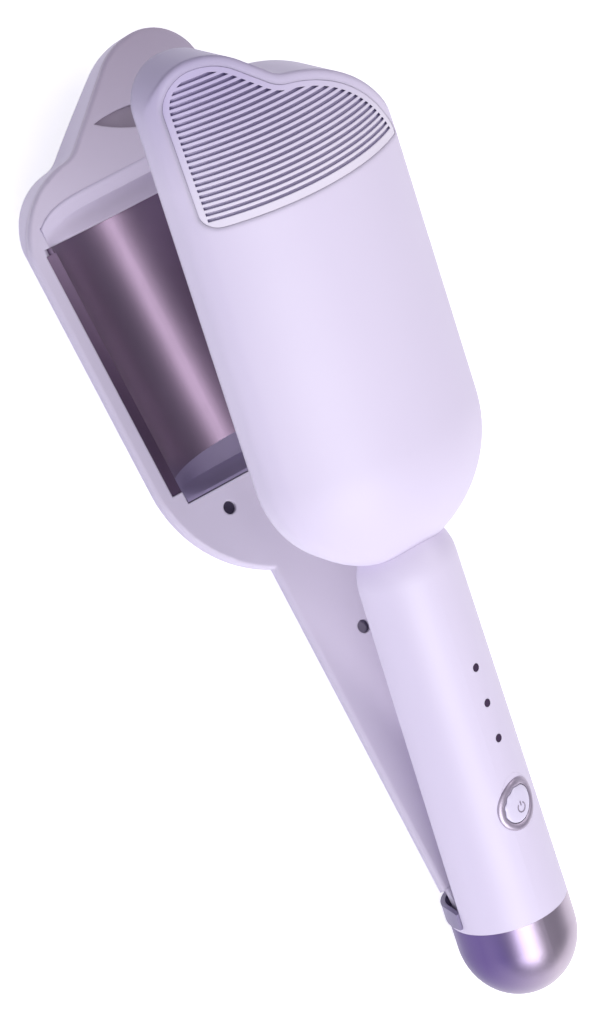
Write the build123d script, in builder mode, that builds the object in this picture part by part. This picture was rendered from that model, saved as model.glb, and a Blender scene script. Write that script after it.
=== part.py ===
"""Clamp-type hair wave iron with two bullet-shaped jaws, photographed open.

All lengths are millimetres. Both arms are drawn from the hinge: X runs towards the tips
and Z runs outwards from the plane where the closed jaws meet.
"""
import os
from collections import namedtuple
from math import acos, asin, atan2, cos, degrees, radians, sin, sqrt

from build123d import *

os.makedirs("parts", exist_ok=True)

# Opening of the arms
OPEN_ANGLE = 22.0
PART_GAP = 0.3
FIT = 0.1
RUNNING_FIT = 0.05
MOVING_GAP = 0.35

# Jaw heads
UPPER_HALF = 37.5
UPPER_WALL = 12.0
UPPER_CROWN = 27.0
LOWER_HALF = 40.5
LOWER_WALL = 5.0
LOWER_CROWN = 25.0
BELLY_FLAT = 0.8
UPPER_SHOULDER = 10.0
LOWER_SHOULDER = 6.0
SKIN = 2.8
DOME_X = 153.0
HEAD_LENGTH = 85.0

# Nose points: reach past the straight head, and side as a share of the jaw's half width
UPPER_LOBE = (49.5, 0.64)
UPPER_NOTCH = (35.0, 0.0)
UPPER_BULGE = (26.4, -0.55)
UPPER_CORNER = (3.0, -1.0)
LOWER_LOBE = (41.6, 0.6)
LOWER_NOTCH = (16.0, -0.33)
LOWER_BULGE = (9.0, -0.78)
LOWER_CORNER = (-5.0, -1.0)
FLANK_SHARE = 0.56
NOTCH_ROUND = 9.0
CORNER_ROUND = 12.0
UPPER_NOSE_DROP = 8.0
LOWER_NOSE_DROP = 15.0

# Ribbed heart panel
PANEL_MARGIN = 3.0
PANEL_ROUND = 5.0
PANEL_THICK = 1.5
PANEL_LIP = 1.6
SLAT_COUNT = 23
SLAT_PITCH = 1.85
GROOVE_WIDTH = 0.95
GROOVE_DEPTH = 0.9

# Heated barrel and trough
TROUGH_HALF = 34.0
TROUGH_DEPTH = 17.0
BARREL_HALF = 31.5
TROUGH_BUTT_INSET = 1.0
TROUGH_TIP_INSET = 5.0
TROUGH_STRIP = 6.5
TROUGH_RIM = 1.6
SHEET = 1.5
HAIR_GAP = 1.5
LIP_REACH = 2.0
LIP_THICK = 1.2
LIP_SUNK = 0.4
LIP_SHIFT = 2.0
BLOCK_LENGTH = 6.0
BLOCK_LAND = 0.8
BARREL_CAP = 2.2
HEATER_THICK = 2.0
HEATER_MARGIN = 6.0
HEATER_ANGLE = 34.0
SHIELD_THICK = 0.8
FUSE_R = 2.5
FUSE_LENGTH = 18.0

# Inner plates and fasteners
RIM_ROUND = 1.2
FRAME_THICK = 2.6
SLOT_REACH = 22.0
SLOT_NEAR_Y = -2.0
SLOT_LENGTH = 34.0
SLOT_RAKE = 8.0
SLOT_WIDTH = 7.5
SLOT_DEPTH = 2.1
SCREW_HEAD_R = 2.0
SCREW_HEAD_T = 1.4
SCREW_SHANK_R = 1.2
SCREW_LENGTH = 9.0
BOSS_R = 3.4
HEAD_SCREW_INSET = 14.0
HEAD_SCREW_Y = 21.0
LEVER_SCREW_INSET = 65.0
NOSE_SCREW_REACH = 10.0

# Lever
LEVER_HALF = 17.0
LEVER_WALL = 4.0
LEVER_DEPTH = 16.0
LEVER_START = 6.0
LEVER_SKIN = 2.2

# Handle
HANDLE_AXIS_Z = 1.5
HANDLE_FLOOR_Z = 4.0
FLOOR_THICK = 2.2
SEAM_X = -7.0
SEAM_R = 18.5
NECK_INSET = 43.0
NECK_R = 17.4
SPIGOT_R = 11.5
SPIGOT_LENGTH = 18.0
SHELL = 2.0
COLLAR = 2.0

# End cap and swivel
CAP_STRAIGHT = 9.0
CAP_DOME = 20.0
CAP_WALL = 2.0
SWIVEL_R = 5.0
SWIVEL_BORE_R = 2.6
SWIVEL_FLANGE_R = 6.6
SWIVEL_FLANGE_T = 1.6
SWIVEL_LENGTH = 9.0
SWIVEL_SUNK = 1.2
BEARING_R = 7.6

# Hinge
EAR_R = 3.6
EAR_INNER = 11.0
EAR_THICK = 3.0
LUG_INNER = 7.4
LUG_THICK = 3.2
PIN_R = 1.8
PIN_HALF = 14.6
SPRING_R = 2.9
SPRING_WIRE_R = 0.55
SPRING_PITCH = 1.7
SPRING_TURNS = 7

# Controls, turned about the handle axis towards the far side
CONTROL_ANGLE = 16.0
BUTTON_X = 31.0
BUTTON_LONG = 6.9
BUTTON_SHORT = 4.4
BUTTON_TRAVEL = 0.8
BUTTON_PROUD = 0.6
RING_WIDTH = 2.0
RING_PROUD = 0.4
LENS_R = 1.2
LENS_FIRST_X = 52.5
LENS_PITCH = 12.0
LENS_COUNT = 3
BOARD_X = 22.0
BOARD_NECK_GAP = 14.0
BOARD_HALF = 8.5
BOARD_Z = 9.6
BOARD_THICK = 1.6
POST_R = 1.6
POST_INSET = 3.0
SWITCH_SIZE = 6.0
SWITCH_ROUND = 0.8

# Worked-out sizes
HEAD_LIMIT = 2 * LOWER_HALF
NOSE_X = DOME_X + HEAD_LENGTH
NECK_X = DOME_X - NECK_INSET
SHOULDER_LENGTH = 2 * (NECK_R - SPIGOT_R)
SPIGOT_X = NECK_X + SPIGOT_LENGTH
BOARD_LENGTH = NECK_X - BOARD_NECK_GAP - BOARD_X
HEAD_SCREW_X = DOME_X - HEAD_SCREW_INSET
LEVER_SCREW_X = DOME_X - LEVER_SCREW_INSET
NOSE_SCREW_X = NOSE_X + NOSE_SCREW_REACH
CAP_END_X = SEAM_X - CAP_STRAIGHT - CAP_DOME
TILT_X, TILT_Z = cos(radians(OPEN_ANGLE)), sin(radians(OPEN_ANGLE))
DOME_CENTRE_X = SEAM_X - CAP_STRAIGHT
REAR_REACH = (
    sqrt((CAP_DOME * TILT_X) ** 2 + (SEAM_R * TILT_Z) ** 2)
    - DOME_CENTRE_X * TILT_X
    + HANDLE_AXIS_Z * TILT_Z
)
UPPER_TIP_X = (NOSE_X + UPPER_LOBE[0]) * TILT_X - PART_GAP * TILT_Z
FRONT_REACH = max(UPPER_TIP_X, NOSE_X + LOWER_LOBE[0])
HINGE_X = (REAR_REACH - FRONT_REACH) / 2
HINGE_Z = LOWER_CROWN - BELLY_FLAT
FRAME_BACK = PART_GAP + FRAME_THICK
TROUGH_R = (TROUGH_HALF**2 + TROUGH_DEPTH**2) / (2 * TROUGH_DEPTH)
ARC_CENTRE_Z = TROUGH_R - TROUGH_DEPTH
BARREL_R = TROUGH_R - HAIR_GAP
TROUGH_BUTT_X = DOME_X - TROUGH_BUTT_INSET
TROUGH_TIP_X = NOSE_X - TROUGH_TIP_INSET
BARREL_BUTT_X = TROUGH_BUTT_X + BARREL_CAP
BARREL_TIP_X = TROUGH_TIP_X - 2 * BARREL_CAP
HEATER_BUTT_X = TROUGH_BUTT_X + HEATER_MARGIN
HEATER_TIP_X = TROUGH_TIP_X - HEATER_MARGIN

# Frames: the upper arm, the lower arm turned over, and the lower arm upright
UPPER = Plane(
    origin=(HINGE_X, 0, HINGE_Z), x_dir=(TILT_X, 0, TILT_Z), z_dir=(-TILT_Z, 0, TILT_X)
)
LOWER = Plane(origin=(HINGE_X, 0, HINGE_Z), x_dir=(1, 0, 0), z_dir=(0, 0, -1))

# A jaw: its frame, its section and the four points of its nose
Jaw = namedtuple("Jaw", "arm half wall crown shoulder drop nose")
UPPER_JAW = Jaw(
    UPPER, UPPER_HALF, UPPER_WALL, UPPER_CROWN, UPPER_SHOULDER, UPPER_NOSE_DROP,
    (UPPER_LOBE, UPPER_NOTCH, UPPER_BULGE, UPPER_CORNER),
)
LOWER_JAW = Jaw(
    LOWER, LOWER_HALF, LOWER_WALL, LOWER_CROWN, LOWER_SHOULDER, LOWER_NOSE_DROP,
    (LOWER_LOBE, LOWER_NOTCH, LOWER_BULGE, LOWER_CORNER),
)


def across(arm, x):
    """Plane square to an arm at station x, seen with the arm's Y and Z."""
    return Plane(origin=arm.from_local_coords((x, 0, 0)), x_dir=arm.y_dir, z_dir=arm.x_dir)


def beside(arm, y):
    """Plane along an arm at y, seen with the arm's X and Z."""
    return Plane(origin=arm.from_local_coords((0, y, 0)), x_dir=arm.x_dir, z_dir=-arm.y_dir)


def line_along(arm, z):
    """Axis along an arm at height z."""
    return Axis(arm.from_local_coords((0, 0, z)), arm.x_dir)


def near(vertices, place):
    """The vertices that lie at a place of their sketch."""
    return [v for v in vertices if abs(v.X - place[0]) < FIT and abs(v.Y - place[1]) < FIT]


def jaw_outline(plane, jaw, inset):
    """Plan of a jaw: round butt end, straight sides, a long lobe, a notch and a short lobe."""
    w = jaw.half
    lobe, notch, bulge, corner = [(NOSE_X + reach, w * share) for reach, share in jaw.nose]
    flank = w * FLANK_SHARE
    centre = (lobe[0] - flank, lobe[1])
    dx, dy = notch[0] - centre[0], notch[1] - centre[1]
    turn = atan2(dy, dx) + acos(flank / sqrt(dx**2 + dy**2))
    meet = (centre[0] + flank * cos(turn), centre[1] + flank * sin(turn))
    side_end = (lobe[0] - (w - lobe[1]), w)
    with BuildSketch(plane) as plan:
        with BuildLine():
            Line((DOME_X, w), side_end)
            TangentArc(side_end, lobe, tangent=(1, 0))
            TangentArc(lobe, meet, tangent=(0, -1))
            Line(meet, notch)
            ThreePointArc(notch, bulge, corner)
            Line(corner, (DOME_X, -w))
            ThreePointArc((DOME_X, -w), (DOME_X - w, 0), (DOME_X, w))
        make_face()
        fillet(near(plan.vertices(), notch), radius=NOTCH_ROUND)
        fillet(near(plan.vertices(), corner), radius=CORNER_ROUND)
        if inset > 0:
            offset(amount=-inset, mode=Mode.REPLACE)
    return plan.sketch


def crown_face(plane, half, wall, crown, shoulder):
    """Section of a jaw, carried below its base: walls, rounded shoulders, a low arched crown."""
    with BuildSketch(plane) as section:
        with BuildLine():
            Polyline((-half, wall), (-half, -shoulder), (half, -shoulder), (half, wall))
            ThreePointArc((half, wall), (0, crown), (-half, wall))
        make_face()
        fillet([v for v in section.vertices() if abs(v.Y - wall) < FIT], radius=shoulder)
    return section.sketch


def crown_loft(jaw, inset):
    """Straight length of a jaw and its falling nose, before the nose is cut to its plan."""
    w, top = jaw.half - inset, jaw.crown - inset
    tip = NOSE_X + jaw.nose[0][0] + SKIN
    with BuildPart() as body:
        for x, crown in ((DOME_X, top), (NOSE_X, top), (tip, top - jaw.drop)):
            add(crown_face(across(jaw.arm, x), w, jaw.wall, crown, jaw.shoulder))
        loft(ruled=True)
    return body.part


def jaw_body(jaw, inset, base):
    """Solid bullet of a jaw, shrunk by inset all round above its open base."""
    arm, wall, shoulder = jaw.arm, jaw.wall, jaw.shoulder
    w, top = jaw.half - inset, jaw.crown - inset
    bend = (w**2 + (top - wall) ** 2) / (2 * (top - wall))
    with BuildPart() as body:
        add(crown_loft(jaw, inset))
        with BuildSketch(beside(arm, 0)) as profile:
            with BuildLine():
                Polyline(
                    (DOME_X, top), (DOME_X, -shoulder), (DOME_X - w, -shoulder), (DOME_X - w, wall)
                )
                RadiusArc((DOME_X - w, wall), (DOME_X, top), bend)
            make_face()
            fillet([v for v in profile.vertices() if abs(v.Y - wall) < FIT], radius=shoulder)
        revolve(axis=Axis(arm.from_local_coords((DOME_X, 0, 0)), arm.z_dir))
        plan = jaw_outline(arm.offset(base), jaw, inset)
        extrude(plan, amount=2 * jaw.crown, mode=Mode.INTERSECT)
    return body.part


def heart_plan(jaw, margin):
    """Plan of the panel in a nose, inside a margin, rounded below the long lobe."""
    grown = margin - PANEL_MARGIN
    start, limit = NOSE_X + grown, 4 * jaw.half
    with BuildSketch(jaw.arm) as plan:
        add(jaw_outline(Plane.XY, jaw, margin))
        with Locations((start + limit / 2, 0)):
            Rectangle(limit, limit, mode=Mode.INTERSECT)
        fillet(near(plan.vertices(), (start, jaw.half - margin)), radius=PANEL_ROUND - grown)
    return plan.sketch


def heart_panel(jaw, margin, top, floor):
    """Layer of a jaw's nose between two depths, inside a margin from its edge."""
    with BuildPart() as panel:
        extrude(heart_plan(jaw, margin), amount=2 * jaw.half)
        add(crown_loft(jaw, top), mode=Mode.INTERSECT)
        add(crown_loft(jaw, floor), mode=Mode.SUBTRACT)
    return panel.part


def ribbed_heart(jaw):
    """Heart-shaped panel whose slats run across the jaw and follow its crown."""
    with BuildPart() as grooves:
        for i in range(SLAT_COUNT):
            x = NOSE_X + PANEL_LIP + SLAT_PITCH * (i + 0.5)
            with BuildSketch(across(jaw.arm, x)):
                Rectangle(2 * jaw.half, 4 * jaw.half)
            extrude(amount=GROOVE_WIDTH)
        plan = jaw_outline(jaw.arm, jaw, PANEL_MARGIN + FIT + PANEL_LIP)
        extrude(plan, amount=2 * jaw.half, mode=Mode.INTERSECT)
        add(crown_loft(jaw, FIT + GROOVE_DEPTH), mode=Mode.SUBTRACT)
    with BuildPart() as panel:
        add(heart_panel(jaw, PANEL_MARGIN + FIT, FIT, FIT + PANEL_THICK))
        add(grooves.part, mode=Mode.SUBTRACT)
    return panel.part


def arc_band(arm, centre_z, x0, x1, outer, inner, half_angle, sign):
    """Curved sheet along an arm, about a line at centre_z, on the side that sign gives."""
    a = radians(half_angle)
    with BuildPart() as band:
        with BuildSketch(across(arm, x0)):
            with BuildLine():
                ends = []
                for r in (outer, inner):
                    left = (-r * sin(a), centre_z + sign * r * cos(a))
                    right = (r * sin(a), centre_z + sign * r * cos(a))
                    ThreePointArc(left, (0, centre_z + sign * r), right)
                    ends.append((left, right))
                Line(ends[0][0], ends[1][0])
                Line(ends[0][1], ends[1][1])
            make_face()
        extrude(amount=x1 - x0)
    return band.part


def arc_segment(arm, centre_z, x0, x1, radius, level, sign, half=HEAD_LIMIT):
    """Solid slice under an arc, cut off level with the inner plate."""
    with BuildPart() as slice_of:
        with BuildSketch(across(arm, x0)):
            with Locations((0, centre_z)):
                Circle(radius)
            with Locations((0, level - sign * radius * 2)):
                Rectangle(radius * 4, radius * 4, mode=Mode.SUBTRACT)
            Rectangle(2 * half, radius * 4, mode=Mode.INTERSECT)
        extrude(amount=x1 - x0)
    return slice_of.part


def bosses(arm, places, body, start):
    """Screw posts from the inner plate to the casing."""
    with BuildPart() as posts:
        with BuildSketch(arm.offset(start)):
            with Locations(*places):
                Circle(BOSS_R)
                Circle(SCREW_SHANK_R + FIT, mode=Mode.SUBTRACT)
        extrude(amount=LOWER_CROWN + UPPER_CROWN)
        add(body, mode=Mode.INTERSECT)
    return posts.part


def screws(arm, places, seat):
    """Pan-head screws whose heads rest on the posts."""
    with BuildPart() as group:
        with BuildSketch(arm.offset(seat)):
            with Locations(*places):
                Circle(SCREW_HEAD_R)
        extrude(amount=-SCREW_HEAD_T)
        with BuildSketch(arm.offset(seat)):
            with Locations(*places):
                Circle(SCREW_SHANK_R)
        extrude(amount=SCREW_LENGTH)
    return group.part


def handle_round(grow, x0=SEAM_X, x1=SPIGOT_X):
    """Round of the handle: a slow taper, a rounded shoulder and a spigot into the head."""
    slope = (SEAM_R - NECK_R) / (NECK_X - SEAM_X)
    start = SEAM_R - slope * (x0 - SEAM_X)
    z = HANDLE_AXIS_Z
    shoulder_x = NECK_X + SHOULDER_LENGTH
    with BuildPart() as body:
        with BuildSketch(beside(UPPER, 0)):
            with BuildLine():
                Polyline((x0, z), (x0, z + start + grow), (NECK_X, z + NECK_R + grow))
                TangentArc(
                    (NECK_X, z + NECK_R + grow), (shoulder_x, z + SPIGOT_R + grow), tangent=(1, -slope)
                )
                Polyline((shoulder_x, z + SPIGOT_R + grow), (x1, z + SPIGOT_R + grow), (x1, z), (x0, z))
            make_face()
        revolve(axis=line_along(UPPER, z))
    return body.part


def control_plane(x, radius):
    """Plane square to the handle's surface on the line of the controls."""
    a = radians(CONTROL_ANGLE)
    centre = UPPER.from_local_coords((x, -radius * sin(a), HANDLE_AXIS_Z + radius * cos(a)))
    normal = UPPER.y_dir * -sin(a) + UPPER.z_dir * cos(a)
    return Plane(origin=centre, x_dir=UPPER.x_dir, z_dir=normal)


def hinge_plate(arm, inner, thick, shape):
    """A mirrored pair of plates square to the hinge pin, with its bore."""
    with BuildPart() as pair:
        for y in (-inner - thick, inner):
            with BuildSketch(beside(arm, y + thick)):
                Circle(EAR_R)
                add(shape)
                Circle(PIN_R + RUNNING_FIT, mode=Mode.SUBTRACT)
            extrude(amount=thick)
    return pair.part


# Casing of the upper jaw, open below, with a recess for the ribbed panel
UPPER_SCREWS = [
    (HEAD_SCREW_X, HEAD_SCREW_Y),
    (HEAD_SCREW_X, -HEAD_SCREW_Y),
    (NOSE_SCREW_X, HEAD_SCREW_Y),
    (NOSE_SCREW_X, -HEAD_SCREW_Y),
]
panel_floor = FIT + PANEL_THICK
with BuildPart() as handle_socket:
    add(handle_round(FIT, x1=SPIGOT_X + FIT))
    with BuildSketch(UPPER.offset(HANDLE_FLOOR_Z - FIT)):
        Rectangle(4 * FRONT_REACH, 4 * SEAM_R)
    extrude(amount=2 * SEAM_R, mode=Mode.INTERSECT)
with BuildPart() as upper_head_cover:
    add(jaw_body(UPPER_JAW, 0, PART_GAP))
    add(jaw_body(UPPER_JAW, SKIN, PART_GAP - FIT), mode=Mode.SUBTRACT)
    add(bosses(UPPER, UPPER_SCREWS, jaw_body(UPPER_JAW, SKIN / 2, FRAME_BACK), FRAME_BACK))
    add(heart_panel(UPPER_JAW, PANEL_MARGIN, -PANEL_THICK, panel_floor), mode=Mode.SUBTRACT)
    add(handle_socket.part, mode=Mode.SUBTRACT)
upper_head_cover.part.label = "upper_head_cover"
export_step(upper_head_cover.part, "parts/upper_head_cover.step")

with BuildPart() as upper_heart_grille:
    add(ribbed_heart(UPPER_JAW))
upper_heart_grille.part.label = "upper_heart_grille"
export_step(upper_heart_grille.part, "parts/upper_heart_grille.step")

# Inner plate of the upper jaw, with the window for the barrel
with BuildPart() as upper_frame:
    inner_plan = jaw_outline(UPPER.offset(PART_GAP), UPPER_JAW, SKIN + FIT)
    extrude(inner_plan, amount=FRAME_THICK)
    with BuildSketch(UPPER.offset(PART_GAP)):
        with Locations(((TROUGH_BUTT_X + BARREL_TIP_X + BARREL_CAP) / 2, 0)):
            Rectangle(
                BARREL_TIP_X + BARREL_CAP - TROUGH_BUTT_X + 2 * FIT, 2 * (BARREL_HALF + FIT)
            )
        with Locations(*UPPER_SCREWS):
            Circle(SCREW_HEAD_R + FIT)
    extrude(amount=FRAME_THICK, mode=Mode.SUBTRACT)
upper_frame.part.label = "upper_frame"
export_step(upper_frame.part, "parts/upper_frame.step")

# Convex heated sheet, held by lips that lie on the inner plate
barrel_angle = degrees(asin(BARREL_HALF / BARREL_R))
flange_z = ARC_CENTRE_Z - BARREL_R * cos(radians(barrel_angle))
flange_top = FRAME_BACK + LIP_THICK
with BuildPart() as barrel_plate:
    add(
        arc_band(
            UPPER, ARC_CENTRE_Z, BARREL_BUTT_X, BARREL_TIP_X, BARREL_R, BARREL_R - SHEET,
            barrel_angle, -1,
        )
    )
    with BuildSketch(across(UPPER, BARREL_BUTT_X)):
        for side in (-1, 1):
            with Locations((side * (BARREL_HALF - SHEET / 2), (flange_z + flange_top) / 2)):
                Rectangle(SHEET, flange_top - flange_z)
            with Locations((side * (BARREL_HALF + LIP_REACH / 2), flange_top - LIP_THICK / 2)):
                Rectangle(LIP_REACH, LIP_THICK)
    extrude(amount=BARREL_TIP_X - BARREL_BUTT_X)
barrel_plate.part.label = "barrel_plate"
export_step(barrel_plate.part, "parts/barrel_plate.step")

# Caps that close the ends of the barrel
with BuildPart() as barrel_end_butt:
    add(
        arc_segment(
            UPPER, ARC_CENTRE_Z, TROUGH_BUTT_X, BARREL_BUTT_X, BARREL_R, FRAME_BACK, -1,
            BARREL_HALF,
        )
    )
barrel_end_butt.part.label = "barrel_end_butt"
export_step(barrel_end_butt.part, "parts/barrel_end_butt.step")

with BuildPart() as barrel_end_tip:
    add(
        arc_segment(
            UPPER, ARC_CENTRE_Z, BARREL_TIP_X, BARREL_TIP_X + BARREL_CAP, BARREL_R, FRAME_BACK,
            -1, BARREL_HALF,
        )
    )
barrel_end_tip.part.label = "barrel_end_tip"
export_step(barrel_end_tip.part, "parts/barrel_end_tip.step")

with BuildPart() as upper_heater:
    outer = BARREL_R - SHEET - FIT
    add(
        arc_band(
            UPPER, ARC_CENTRE_Z, HEATER_BUTT_X, HEATER_TIP_X, outer, outer - HEATER_THICK,
            HEATER_ANGLE, -1,
        )
    )
upper_heater.part.label = "upper_heater"
export_step(upper_heater.part, "parts/upper_heater.step")

with BuildPart() as upper_heat_shield:
    outer = BARREL_R - SHEET - HEATER_THICK - 2 * FIT
    add(
        arc_band(
            UPPER, ARC_CENTRE_Z, HEATER_BUTT_X, HEATER_TIP_X, outer, outer - SHIELD_THICK,
            HEATER_ANGLE, -1,
        )
    )
upper_heat_shield.part.label = "upper_heat_shield"
export_step(upper_heat_shield.part, "parts/upper_heat_shield.step")

# Cut-out lying along the middle of the upper shield
fuse_bottom = ARC_CENTRE_Z - BARREL_R + SHEET + HEATER_THICK + 2 * FIT + SHIELD_THICK
with BuildPart() as thermal_fuse:
    with BuildSketch(across(UPPER, (HEATER_BUTT_X + HEATER_TIP_X - FUSE_LENGTH) / 2)):
        with Locations((0, fuse_bottom + FIT + FUSE_R)):
            Circle(FUSE_R)
    extrude(amount=FUSE_LENGTH)
thermal_fuse.part.label = "thermal_fuse"
export_step(thermal_fuse.part, "parts/thermal_fuse.step")

with BuildPart() as upper_frame_screws:
    add(screws(UPPER, UPPER_SCREWS, FRAME_BACK))
upper_frame_screws.part.label = "upper_frame_screws"
export_step(upper_frame_screws.part, "parts/upper_frame_screws.step")

# Casing of the lower jaw and its lever in one moulding, with a flat belly to rest on
LOWER_SCREWS = [
    (HEAD_SCREW_X, HEAD_SCREW_Y),
    (HEAD_SCREW_X, -HEAD_SCREW_Y),
    (LEVER_SCREW_X, 0),
]


def lever_body(inset, base, x0):
    """Round-backed channel of the lever, up to the middle of the head's round end."""
    with BuildPart() as body:
        section = across(LOWER, x0)
        with BuildSketch(section):
            with BuildLine():
                w, d = LEVER_HALF - inset, LEVER_DEPTH - inset
                Polyline((-w, LEVER_WALL), (-w, base), (w, base), (w, LEVER_WALL))
                ThreePointArc((w, LEVER_WALL), (0, d), (-w, LEVER_WALL))
            make_face()
        extrude(amount=DOME_X - x0)
    return body.part


def lower_solid(inset, lever_inset, base):
    """The lower jaw with its lever, each shrunk by its own inset."""
    with BuildPart() as body:
        add(jaw_body(LOWER_JAW, inset, base))
        add(lever_body(lever_inset, base, LEVER_START + lever_inset))
    return body.part


with BuildPart() as lower_casing:
    add(lower_solid(0, 0, FRAME_BACK))
    add(lower_solid(SKIN, LEVER_SKIN, FRAME_BACK - FIT), mode=Mode.SUBTRACT)
    post_limit = lower_solid(SKIN / 2, LEVER_SKIN / 2, FRAME_BACK)
    add(bosses(LOWER, LOWER_SCREWS, post_limit, FRAME_BACK))
    add(heart_panel(LOWER_JAW, PANEL_MARGIN, -PANEL_THICK, panel_floor), mode=Mode.SUBTRACT)
    with BuildSketch(LOWER.offset(LOWER_CROWN - BELLY_FLAT)):
        with Locations((DOME_X, 0)):
            Rectangle(4 * FRONT_REACH, 4 * LOWER_HALF)
    extrude(amount=2 * BELLY_FLAT, mode=Mode.SUBTRACT)
lower_casing.part.label = "lower_casing"
export_step(lower_casing.part, "parts/lower_casing.step")

# Inner plate of the lower arm: trough opening, end strip, ears and leaf-shaped recess
block_x = TROUGH_BUTT_X - BLOCK_LENGTH
block_half = TROUGH_HALF - SHEET - FIT
with BuildSketch(Plane.XY) as ear_arm:
    with Locations(((LEVER_START - FIT) / 2, (EAR_R + PART_GAP) / 2)):
        Rectangle(LEVER_START - FIT, EAR_R - PART_GAP)
    with Locations((LEVER_START, (FRAME_BACK + PART_GAP) / 2)):
        Rectangle(EAR_R, FRAME_THICK)
with BuildPart() as lower_frame:
    with BuildSketch(LOWER.offset(PART_GAP)):
        add(jaw_outline(Plane.XY, LOWER_JAW, 0))
        with Locations(((LEVER_START + DOME_X) / 2, 0)):
            Rectangle(DOME_X - LEVER_START, 2 * LEVER_HALF)
    extrude(amount=FRAME_THICK)
    fillet(lower_frame.faces().sort_by(Axis(LOWER.origin, LOWER.z_dir))[0].edges(), radius=RIM_ROUND)
    strip_end = TROUGH_TIP_X + TROUGH_STRIP
    add(
        arc_segment(
            LOWER, -ARC_CENTRE_Z, TROUGH_TIP_X + FIT, strip_end + TROUGH_RIM,
            TROUGH_R + TROUGH_RIM, FRAME_BACK, 1,
        )
    )
    add(
        arc_segment(
            LOWER, -ARC_CENTRE_Z, TROUGH_TIP_X, strip_end, TROUGH_R, -1, 1
        ),
        mode=Mode.SUBTRACT,
    )
    add(
        arc_segment(
            LOWER, -ARC_CENTRE_Z, TROUGH_BUTT_X - FIT, TROUGH_TIP_X + FIT,
            TROUGH_R + SHEET + FIT, -1, 1,
        ),
        mode=Mode.SUBTRACT,
    )
    add(
        arc_segment(
            LOWER, -ARC_CENTRE_Z, block_x - FIT, TROUGH_BUTT_X, TROUGH_R + SHEET + FIT, -1, 1,
            block_half + FIT,
        ),
        mode=Mode.SUBTRACT,
    )
    with BuildSketch(LOWER.offset(PART_GAP)):
        with Locations(((TROUGH_BUTT_X + TROUGH_TIP_X) / 2 - LIP_SHIFT, 0)):
            Rectangle(
                TROUGH_TIP_X - TROUGH_BUTT_X + 2 * FIT, 2 * (TROUGH_HALF + LIP_REACH + FIT)
            )
    extrude(amount=LIP_THICK + LIP_SUNK, mode=Mode.SUBTRACT)
    with BuildSketch(LOWER.offset(PART_GAP)):
        with Locations(*LOWER_SCREWS):
            Circle(SCREW_HEAD_R + FIT)
    extrude(amount=FRAME_THICK, mode=Mode.SUBTRACT)
    with BuildSketch(LOWER.offset(PART_GAP)):
        with BuildLine():
            slot_x = NOSE_X + SLOT_REACH
            ends = [(slot_x, SLOT_NEAR_Y), (slot_x - SLOT_RAKE, SLOT_NEAR_Y + SLOT_LENGTH)]
            middle = (slot_x - SLOT_RAKE / 2, SLOT_NEAR_Y + SLOT_LENGTH / 2)
            for side in (-SLOT_WIDTH / 2, SLOT_WIDTH / 2):
                ThreePointArc(ends[0], (middle[0] + side, middle[1]), ends[1])
        make_face()
    extrude(amount=SLOT_DEPTH, mode=Mode.SUBTRACT)
    add(hinge_plate(LOWER, EAR_INNER, EAR_THICK, ear_arm.sketch))
lower_frame.part.label = "lower_frame"
export_step(lower_frame.part, "parts/lower_frame.step")

# Concave heated sheet, and the narrow lip along each side that lies nearer the hinge
trough_angle = degrees(asin(TROUGH_HALF / (TROUGH_R + SHEET)))
with BuildPart() as trough_plate:
    add(
        arc_band(
            LOWER, -ARC_CENTRE_Z, TROUGH_BUTT_X, TROUGH_TIP_X, TROUGH_R + SHEET, TROUGH_R,
            trough_angle, 1,
        )
    )
    with BuildSketch(across(LOWER, TROUGH_BUTT_X - LIP_SHIFT)):
        for side in (-1, 1):
            with Locations(
                (side * (TROUGH_HALF + LIP_REACH / 2 - SHEET / 2), PART_GAP + LIP_SUNK + LIP_THICK / 2)
            ):
                Rectangle(LIP_REACH + SHEET, LIP_THICK)
    extrude(amount=TROUGH_TIP_X - TROUGH_BUTT_X)
trough_plate.part.label = "trough_plate"
export_step(trough_plate.part, "parts/trough_plate.step")

# Dark block with a sloping face at the butt end of the trough
with BuildPart() as trough_end_block:
    add(
        arc_segment(
            LOWER, -ARC_CENTRE_Z, block_x, TROUGH_BUTT_X - FIT, TROUGH_R + SHEET, PART_GAP, 1,
            block_half,
        )
    )
    with BuildSketch(beside(LOWER, -2 * TROUGH_HALF)):
        with BuildLine():
            Polyline(
                (block_x + BLOCK_LAND, 0), (TROUGH_BUTT_X - BLOCK_LAND, TROUGH_DEPTH),
                (TROUGH_BUTT_X + SHEET, TROUGH_DEPTH), (TROUGH_BUTT_X + SHEET, 0), close=True,
            )
        make_face()
    extrude(amount=-4 * TROUGH_HALF, mode=Mode.SUBTRACT)
trough_end_block.part.label = "trough_end_block"
export_step(trough_end_block.part, "parts/trough_end_block.step")

with BuildPart() as lower_heater:
    inner = TROUGH_R + SHEET + FIT
    add(
        arc_band(
            LOWER, -ARC_CENTRE_Z, HEATER_BUTT_X, HEATER_TIP_X, inner + HEATER_THICK, inner,
            HEATER_ANGLE, 1,
        )
    )
lower_heater.part.label = "lower_heater"
export_step(lower_heater.part, "parts/lower_heater.step")

with BuildPart() as lower_heat_shield:
    inner = TROUGH_R + SHEET + HEATER_THICK + 2 * FIT
    add(
        arc_band(
            LOWER, -ARC_CENTRE_Z, HEATER_BUTT_X, HEATER_TIP_X, inner + SHIELD_THICK, inner,
            HEATER_ANGLE, 1,
        )
    )
lower_heat_shield.part.label = "lower_heat_shield"
export_step(lower_heat_shield.part, "parts/lower_heat_shield.step")

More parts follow.
